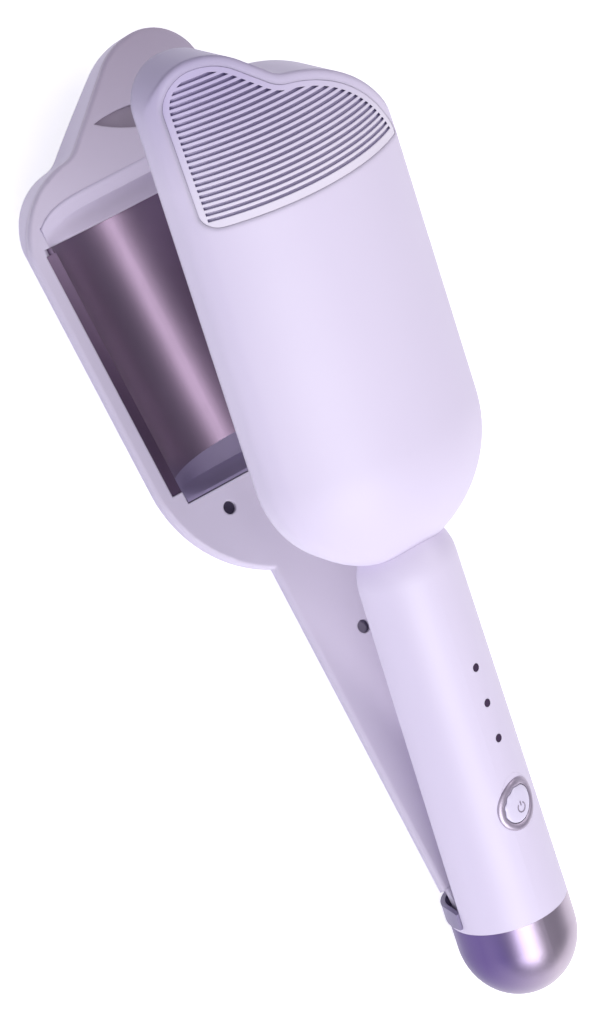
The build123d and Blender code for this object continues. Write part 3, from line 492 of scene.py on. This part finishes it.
def laid_loop(shape, outline, height):
    """Circle bent to an outline and laid on the handle, as edges."""
    loop = set(bmesh.ops.create_circle(shape, segments=LOOP_POINTS, radius=1)["verts"])
    for vert in loop:
        vert.co = on_handle(*outline(math.atan2(vert.co.y, vert.co.x)), height)
    return [e for e in shape.edges if e.verts[0] in loop and e.verts[1] in loop]


def bridged(shape, loops):
    """Each loop joined to the next by a band of faces."""
    for loop, following in zip(loops, loops[1:]):
        bmesh.ops.bridge_loops(shape, edges=loop + following)


def pebble_loops(shape, sections):
    """Loops for a list of share, growth and height."""
    return [
        laid_loop(shape, lambda angle, s=share, g=grow: pebble(angle, s, g), height)
        for share, grow, height in sections
    ]


print("outline at its ends:", pebble(0, 1, 0), pebble(math.pi, 1, 0))

# %% Ring, button and the seat under the ring
RING_SECTIONS = [(0, 0.9, -1.2), (0, 0.6, -1.2), (0, 0.15, 0.2), (0, 0.4, 0.36), (0.5, 0, 0.5),
                 (1, -0.55, 0.4), (1, -0.15, 0.22), (1, 0, 0.0), (1, 0, -0.1), (0, 0.9, -0.1)]
shape = bmesh.new()
loops = pebble_loops(shape, RING_SECTIONS)
bridged(shape, loops + loops[:1])
ring = add_piece("ring_round_button", shape, ring_metal, "handle")
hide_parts("button_bezel")

BUTTON_SECTIONS = [(0, 0, -1.4), (0, 0, -0.1), (0, -0.15, 0.25), (0, -0.6, 0.42),
                   (0, -1.6, 0.5), (0, -3.4, 0.56)]
shape = bmesh.new()
loops = pebble_loops(shape, BUTTON_SECTIONS)
bridged(shape, loops)
for open_end in (loops[0], loops[-1]):
    bmesh.ops.contextual_create(shape, geom=open_end)
pebble_button = add_piece("pebble_button", shape, button_plastic, "button")
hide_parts("power_button")

SEAT_LONG, SEAT_SHORT, SEAT_UNDER = 9.06, 6.56, -0.25


def seat_edge(angle):
    """Oval that fills the hole in the shell."""
    return math.cos(angle) * SEAT_LONG, math.sin(angle) * SEAT_SHORT


shape = bmesh.new()
loops = pebble_loops(shape, [(0, 0.4, SEAT_UNDER), (0, 0.4, 0.0)])
loops += [laid_loop(shape, seat_edge, height) for height in (0.0, SEAT_UNDER)]
bridged(shape, loops + loops[:1])
seat = add_piece("button_seat", shape, lavender, "handle")
for piece in (ring, pebble_button, seat):
    print("made", piece.name, len(piece.data.polygons), "faces")

# %% [markdown]
# ## Power mark
# The photograph shows a faint round sign on the button. It is made as the usual power sign,
# raised and in the grey of the ring: a circle open at the top and a short bar in the gap. The
# bar points to the head.

# %% Raised power sign
MARK_R, MARK_LINE, MARK_GAP = 1.5, 0.2, math.radians(38)
MARK_AT = (-2.0, 0.3)
MARK_LOW, MARK_HIGH, ARC_STEPS = 0.45, 0.62, 28
BAR_START, BAR_LENGTH, BAR_STEPS = 0.5, 1.5, 3


def raised_strip(shape, centre_line, half_width, low, high):
    """Bar with a square section along a list of places on the handle."""
    corners = []
    for number, (x, y) in enumerate(centre_line):
        ahead = centre_line[min(number + 1, len(centre_line) - 1)]
        behind = centre_line[max(number - 1, 0)]
        run = Vector((ahead[0] - behind[0], ahead[1] - behind[1])).normalized()
        side = Vector((-run.y, run.x)) * half_width
        quad = bmesh.ops.create_circle(shape, segments=4, radius=1)["verts"]
        for vert, (way, height) in zip(quad, ((-1, low), (1, low), (1, high), (-1, high))):
            vert.co = on_handle(x + side.x * way, y + side.y * way, height)
        loop = set(quad)
        corners.append([e for e in shape.edges if e.verts[0] in loop and e.verts[1] in loop])
    bridged(shape, corners)
    for open_end in (corners[0], corners[-1]):
        bmesh.ops.contextual_create(shape, geom=open_end)


shape = bmesh.new()
sweep = 2 * math.pi - 2 * MARK_GAP
turns = [MARK_GAP + sweep * i / ARC_STEPS for i in range(ARC_STEPS + 1)]
arc = [(MARK_AT[0] + math.cos(t) * MARK_R, MARK_AT[1] + math.sin(t) * MARK_R) for t in turns]
raised_strip(shape, arc, MARK_LINE, MARK_LOW, MARK_HIGH)
bar = [(MARK_AT[0] + BAR_START + BAR_LENGTH * i / BAR_STEPS, MARK_AT[1])
       for i in range(BAR_STEPS + 1)]
raised_strip(shape, bar, MARK_LINE, MARK_LOW, MARK_HIGH)
mark = add_piece("power_mark", shape, ring_metal, "button")
print("made", mark.name, len(mark.data.polygons), "faces")

# %% [markdown]
# ## Two ends of the trough
# At the tip the trough runs out over a pale slope onto a flat land with a bead and round
# corners. At the butt end a dark block closes it, and its foot is drawn out thin over the
# sheet. Both are grids: one direction runs across the arm, the other follows a section.

# %% Slope, land and bead at the tip of the trough
TROUGH_R, ARC_CENTRE_Z, TROUGH_HALF = 42.5, 25.5, 34.0
FACE_Z = -0.3
GRID_ACROSS, STRIP_THICK, LAND_SIDE_GAP = 64, 0.8, 0.4
SLOPE_START, LAND_END, LAND_CORNER = 233.3, 244.2, 5.0


def trough_depth(side):
    """Depth of the trough's surface below the hinge line, at a place across the arm."""
    return math.sqrt(TROUGH_R ** 2 - min(abs(side), TROUGH_HALF) ** 2) - ARC_CENTRE_Z


def section_grid(name, section, place, material):
    """Solid strip across the lower arm whose top is a grid of points of a section."""
    shape = bmesh.new()
    steps = len(section) - 1
    bmesh.ops.create_grid(shape, x_segments=steps, y_segments=GRID_ACROSS, size=1)
    for vert in shape.verts:
        station = section[round((vert.co.x + 1) / 2 * steps)]
        vert.co = place(station, vert.co.y)
    under = bmesh.ops.extrude_face_region(shape, geom=list(shape.faces))["geom"]
    lowered = [g for g in under if isinstance(g, bmesh.types.BMVert)]
    bmesh.ops.translate(shape, verts=lowered, vec=(0, 0, -STRIP_THICK * MM))
    return add_piece(name, shape, material, "lower_jaw")


LAND_SECTION = [(0.0, 1.0, 0.15), (0.12, 0.86, 0.2), (0.3, 0.5, 0.2), (0.48, 0.14, 0.15),
                (0.58, 0.0, 0.1), (0.64, 0.0, 0.2), (0.8, 0.0, 0.22), (0.87, 0.0, 0.34),
                (0.92, 0.0, 0.46), (0.96, 0.0, 0.4), (1.0, 0.0, 0.15)]


def on_land(station, side_share):
    """Share of the way to the edge, share of the depth left, and rise in mm."""
    share, deep, rise = station
    side = side_share * (TROUGH_HALF - LAND_SIDE_GAP)
    end = LAND_END - LAND_CORNER * abs(side_share) ** 6
    x = SLOPE_START + (end - SLOPE_START) * share
    return on_lower(x, side, FACE_Z - trough_depth(side) * deep + rise)


land = section_grid("trough_tip_land", LAND_SECTION, on_land, lavender)
print("made", land.name, len(land.data.polygons), "faces")

# %% Block at the butt end of the trough
BLOCK_HALF, BLOCK_BACK, FOOT_START, FOOT_END, FOOT_REACH = 32.3, 146.2, 151.6, 154.0, 5.0
BLOCK_SECTION = [(0.0, 0.0, 0.1), (0.16, 0.0, 0.1), (0.28, 0.08, 0.2), (0.55, 0.42, 0.5),
                 (0.8, 0.78, 0.9), (1.0, 1.0, 1.15), (1.5, 1.0, 0.7), (2.0, 1.0, 0.12)]


def on_block(station, side_share):
    """Share of the block's length (the foot from 1 to 2), share of the depth, and rise."""
    share, deep, rise = station
    side = side_share * BLOCK_HALF
    depth = trough_depth(side)
    foot_end = FOOT_END + FOOT_REACH * depth / trough_depth(0)
    x = BLOCK_BACK + (FOOT_START - BLOCK_BACK) * min(share, 1)
    x += (foot_end - FOOT_START) * max(share - 1, 0)
    return on_lower(x, side, FACE_Z - depth * deep + rise * min(1, 0.15 + depth / 4))


block = section_grid("trough_butt_block", BLOCK_SECTION, on_block, block_grey)
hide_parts("trough_end_block")
print("made", block.name, len(block.data.polygons), "faces")

# %% [markdown]
# ## Leaf recess
# The leaf-shaped recess in the nose looks dark in the photograph, and what it is lined with
# can't be made out. A thin liner paints the shade of the recess into it: a dark disc drawn out
# between the two tips of the leaf, which lies at the bottom of the recess.

# %% Liner of the leaf recess
LEAF_TIP, LEAF_END, LEAF_HALF, LEAF_FLOOR = (260.0, 2.0), (252.0, -32.0), 3.75, -2.35
LEAF_CLEAR, LEAF_THICK = 0.96, 0.5
shape = bmesh.new()
disc = bmesh.ops.create_circle(shape, cap_ends=True, segments=48, radius=1)["verts"]
run = Vector((LEAF_END[0] - LEAF_TIP[0], LEAF_END[1] - LEAF_TIP[1]))
for vert in disc:
    length_share = (vert.co.x + 1) / 2
    half = LEAF_HALF * (1 - vert.co.x ** 2) * (1 if vert.co.y > 0 else -1) * LEAF_CLEAR
    x = LEAF_TIP[0] + run.x * length_share + half
    y = LEAF_TIP[1] + run.y * length_share
    vert.co = on_lower(x, y, LEAF_FLOOR)
top = bmesh.ops.extrude_face_region(shape, geom=list(shape.faces))["geom"]
raised = [g for g in top if isinstance(g, bmesh.types.BMVert)]
bmesh.ops.translate(shape, verts=raised, vec=(0, 0, LEAF_THICK * MM))
leaf = add_piece("leaf_shade_liner", shape, leaf_painted_shade, "lower_jaw")
print("made", leaf.name, len(leaf.data.polygons), "faces")

# %% [markdown]
# ## Hinge cover
# Where the handle opens for the lower arm, a dark knuckle shows. The photograph is blurred
# there, so its form is a guess: a curved band that follows the round of the handle, with a
# wall that shuts the hollow behind the hinge.

# %% Cover in the mouth of the handle
COVER_R, COVER_THICK, COVER_BACK, COVER_WALL_X = 17.9, 1.5, -5.4, -4.4
COVER_HALF_TURN, WALL_TOP = 97, 2.3
shape = bmesh.new()
bmesh.ops.create_grid(shape, x_segments=48, y_segments=6, size=1)
for vert in shape.verts:
    turn = math.radians(90 + COVER_HALF_TURN * vert.co.x)
    reach_share = (vert.co.y + 1) / 2
    front = -1.2 + 3.4 * abs(vert.co.x) ** 2 - 2.4 * abs(vert.co.x) ** 12
    x = COVER_BACK + (front - COVER_BACK) * reach_share
    y = math.cos(turn) * COVER_R
    vert.co = on_upper(x, y, HANDLE_AXIS - math.sin(turn) * COVER_R)
bmesh.ops.recalc_face_normals(shape, faces=shape.faces)
bmesh.ops.solidify(shape, geom=list(shape.faces), thickness=COVER_THICK * MM)
cover = add_piece("hinge_cover", shape, knuckle_grey, "handle")
shape = bmesh.new()
disc = bmesh.ops.create_circle(shape, cap_ends=True, segments=48, radius=COVER_R - 1)["verts"]
for vert in disc:
    vert.co = on_upper(COVER_BACK, vert.co.x, HANDLE_AXIS + min(vert.co.y, WALL_TOP))
wall = bmesh.ops.extrude_face_region(shape, geom=list(shape.faces))["geom"]
pushed = [g for g in wall if isinstance(g, bmesh.types.BMVert)]
bmesh.ops.translate(shape, verts=pushed, vec=ALONG_UPPER * ((COVER_WALL_X - COVER_BACK) * MM))
mouth_wall = add_piece("mouth_wall", shape, knuckle_grey, "handle")
for piece in (cover, mouth_wall):
    print("made", piece.name, len(piece.data.polygons), "faces")

# %% [markdown]
# ## Cheeks of the lower arm
# Outside the ears the plate of the lower arm is carried on past the hinge as two narrow cheeks,
# which is also a guess. Each is a strip with a round end: a circle stretched on one side, given
# its thickness by extrusion.

# %% Two cheeks beside the hinge
CHEEK_Y, CHEEK_HALF, CHEEK_BACK, CHEEK_FRONT, CHEEK_THICK = 15.2, 0.75, -1.5, 6.6, 2.4
for side, word in ((1, "near"), (-1, "far")):
    shape = bmesh.new()
    disc = bmesh.ops.create_circle(shape, cap_ends=True, segments=24, radius=CHEEK_HALF)["verts"]
    for vert in disc:
        along = CHEEK_FRONT if vert.co.x > 0 else CHEEK_BACK + CHEEK_HALF + vert.co.x
        vert.co = on_lower(along, side * CHEEK_Y + vert.co.y, FACE_Z)
    under = bmesh.ops.extrude_face_region(shape, geom=list(shape.faces))["geom"]
    lowered = [g for g in under if isinstance(g, bmesh.types.BMVert)]
    bmesh.ops.translate(shape, verts=lowered, vec=(0, 0, -CHEEK_THICK * MM))
    cheek = add_piece("cheek_" + word, shape, plate_grey, "lower_jaw")
    print("made", cheek.name, len(cheek.data.polygons), "faces")

# %% [markdown]
# ## Floor, room and lamps
# The iron lies on a white floor. The room is a pale wrap that fills the shade, and four lamps
# shape the form: a broad one from the handle's side, which brightens the round end of the
# upper jaw, a weak one from the near side, a low violet one that the cap mirrors, and a long
# narrow one from the far side, which draws the highlight along the trough.

# %% Floor and room
FLOOR_GAP, FLOOR_SIZE, FLOOR_GLOW, ROOM_LEVEL = 0.05, 6, 0.62, 0.37
floor_mesh = bpy.data.meshes.new("floor")
sheet = bmesh.new()
floor_place = Matrix.Translation((0, 0, cad_box[0][2] - FLOOR_GAP * MM))
bmesh.ops.create_grid(sheet, x_segments=1, y_segments=1, size=FLOOR_SIZE, matrix=floor_place)
sheet.to_mesh(floor_mesh)
sheet.free()
floor = bpy.data.objects.new("floor", floor_mesh)
bpy.context.scene.collection.objects.link(floor)
white, tree, shader = start_material("white_floor", (0.93, 0.93, 0.95), 0.85)
rays = tree.nodes.new("ShaderNodeLightPath")
lift = tree.nodes.new("ShaderNodeMath")
lift.operation = "MULTIPLY"
lift.inputs[1].default_value = FLOOR_GLOW
seen = rays.outputs["Is Camera Ray"]
for other in ("Is Glossy Ray", "Is Transmission Ray"):
    either = tree.nodes.new("ShaderNodeMath")
    either.operation = "MAXIMUM"
    tree.links.new(seen, either.inputs[0])
    tree.links.new(rays.outputs[other], either.inputs[1])
    seen = either.outputs["Value"]
tree.links.new(seen, lift.inputs[0])
shader.inputs["Emission Color"].default_value = (1, 1, 1, 1)
tree.links.new(lift.outputs["Value"], shader.inputs["Emission Strength"])
floor.data.materials.append(white)
world = bpy.data.worlds.new("room")
world.use_nodes = True
sky = world.node_tree.nodes["Background"]
sky.inputs["Color"].default_value = (0.80, 0.78, 0.92, 1)
sky.inputs["Strength"].default_value = ROOM_LEVEL
bpy.context.scene.world = world
print("floor and room ready")


# %% Lamps
def lamp(name, place, target, size, power, color=(1, 1, 1)):
    """Soft rectangular lamp that faces a point of the iron."""
    data = bpy.data.lights.new(name, "AREA")
    data.shape = "RECTANGLE"
    data.size, data.size_y = size
    data.energy = power
    data.color = color
    holder = bpy.data.objects.new(name, data)
    bpy.context.scene.collection.objects.link(holder)
    facing = (place - target).to_track_quat("Z", "Y").to_matrix().to_4x4()
    holder.matrix_world = Matrix.Translation(place) @ facing
    return holder


middle = on_lower(*MIDDLE)
lamp("handle_side", middle + Vector((-1.3, 0.35, 0.9)), middle, (0.9, 0.9), 16)
lamp("near_side", middle + Vector((0.1, 1.3, 0.8)), middle, (0.8, 0.8), 2.6, (0.93, 0.92, 1.0))
lamp("violet_low", middle + Vector((-0.9, 1.25, 0.12)), middle, (0.9, 0.6), 1.4, (0.5, 0.4, 1.0))
lamp("far_strip", middle + Vector((0.1, -1.0, 1.25)), middle, (1.3, 0.2), 6.9, (1.0, 0.96, 0.98))
print("lamps ready")

# %% [markdown]
# ## Last line

# %% The end
print("done")
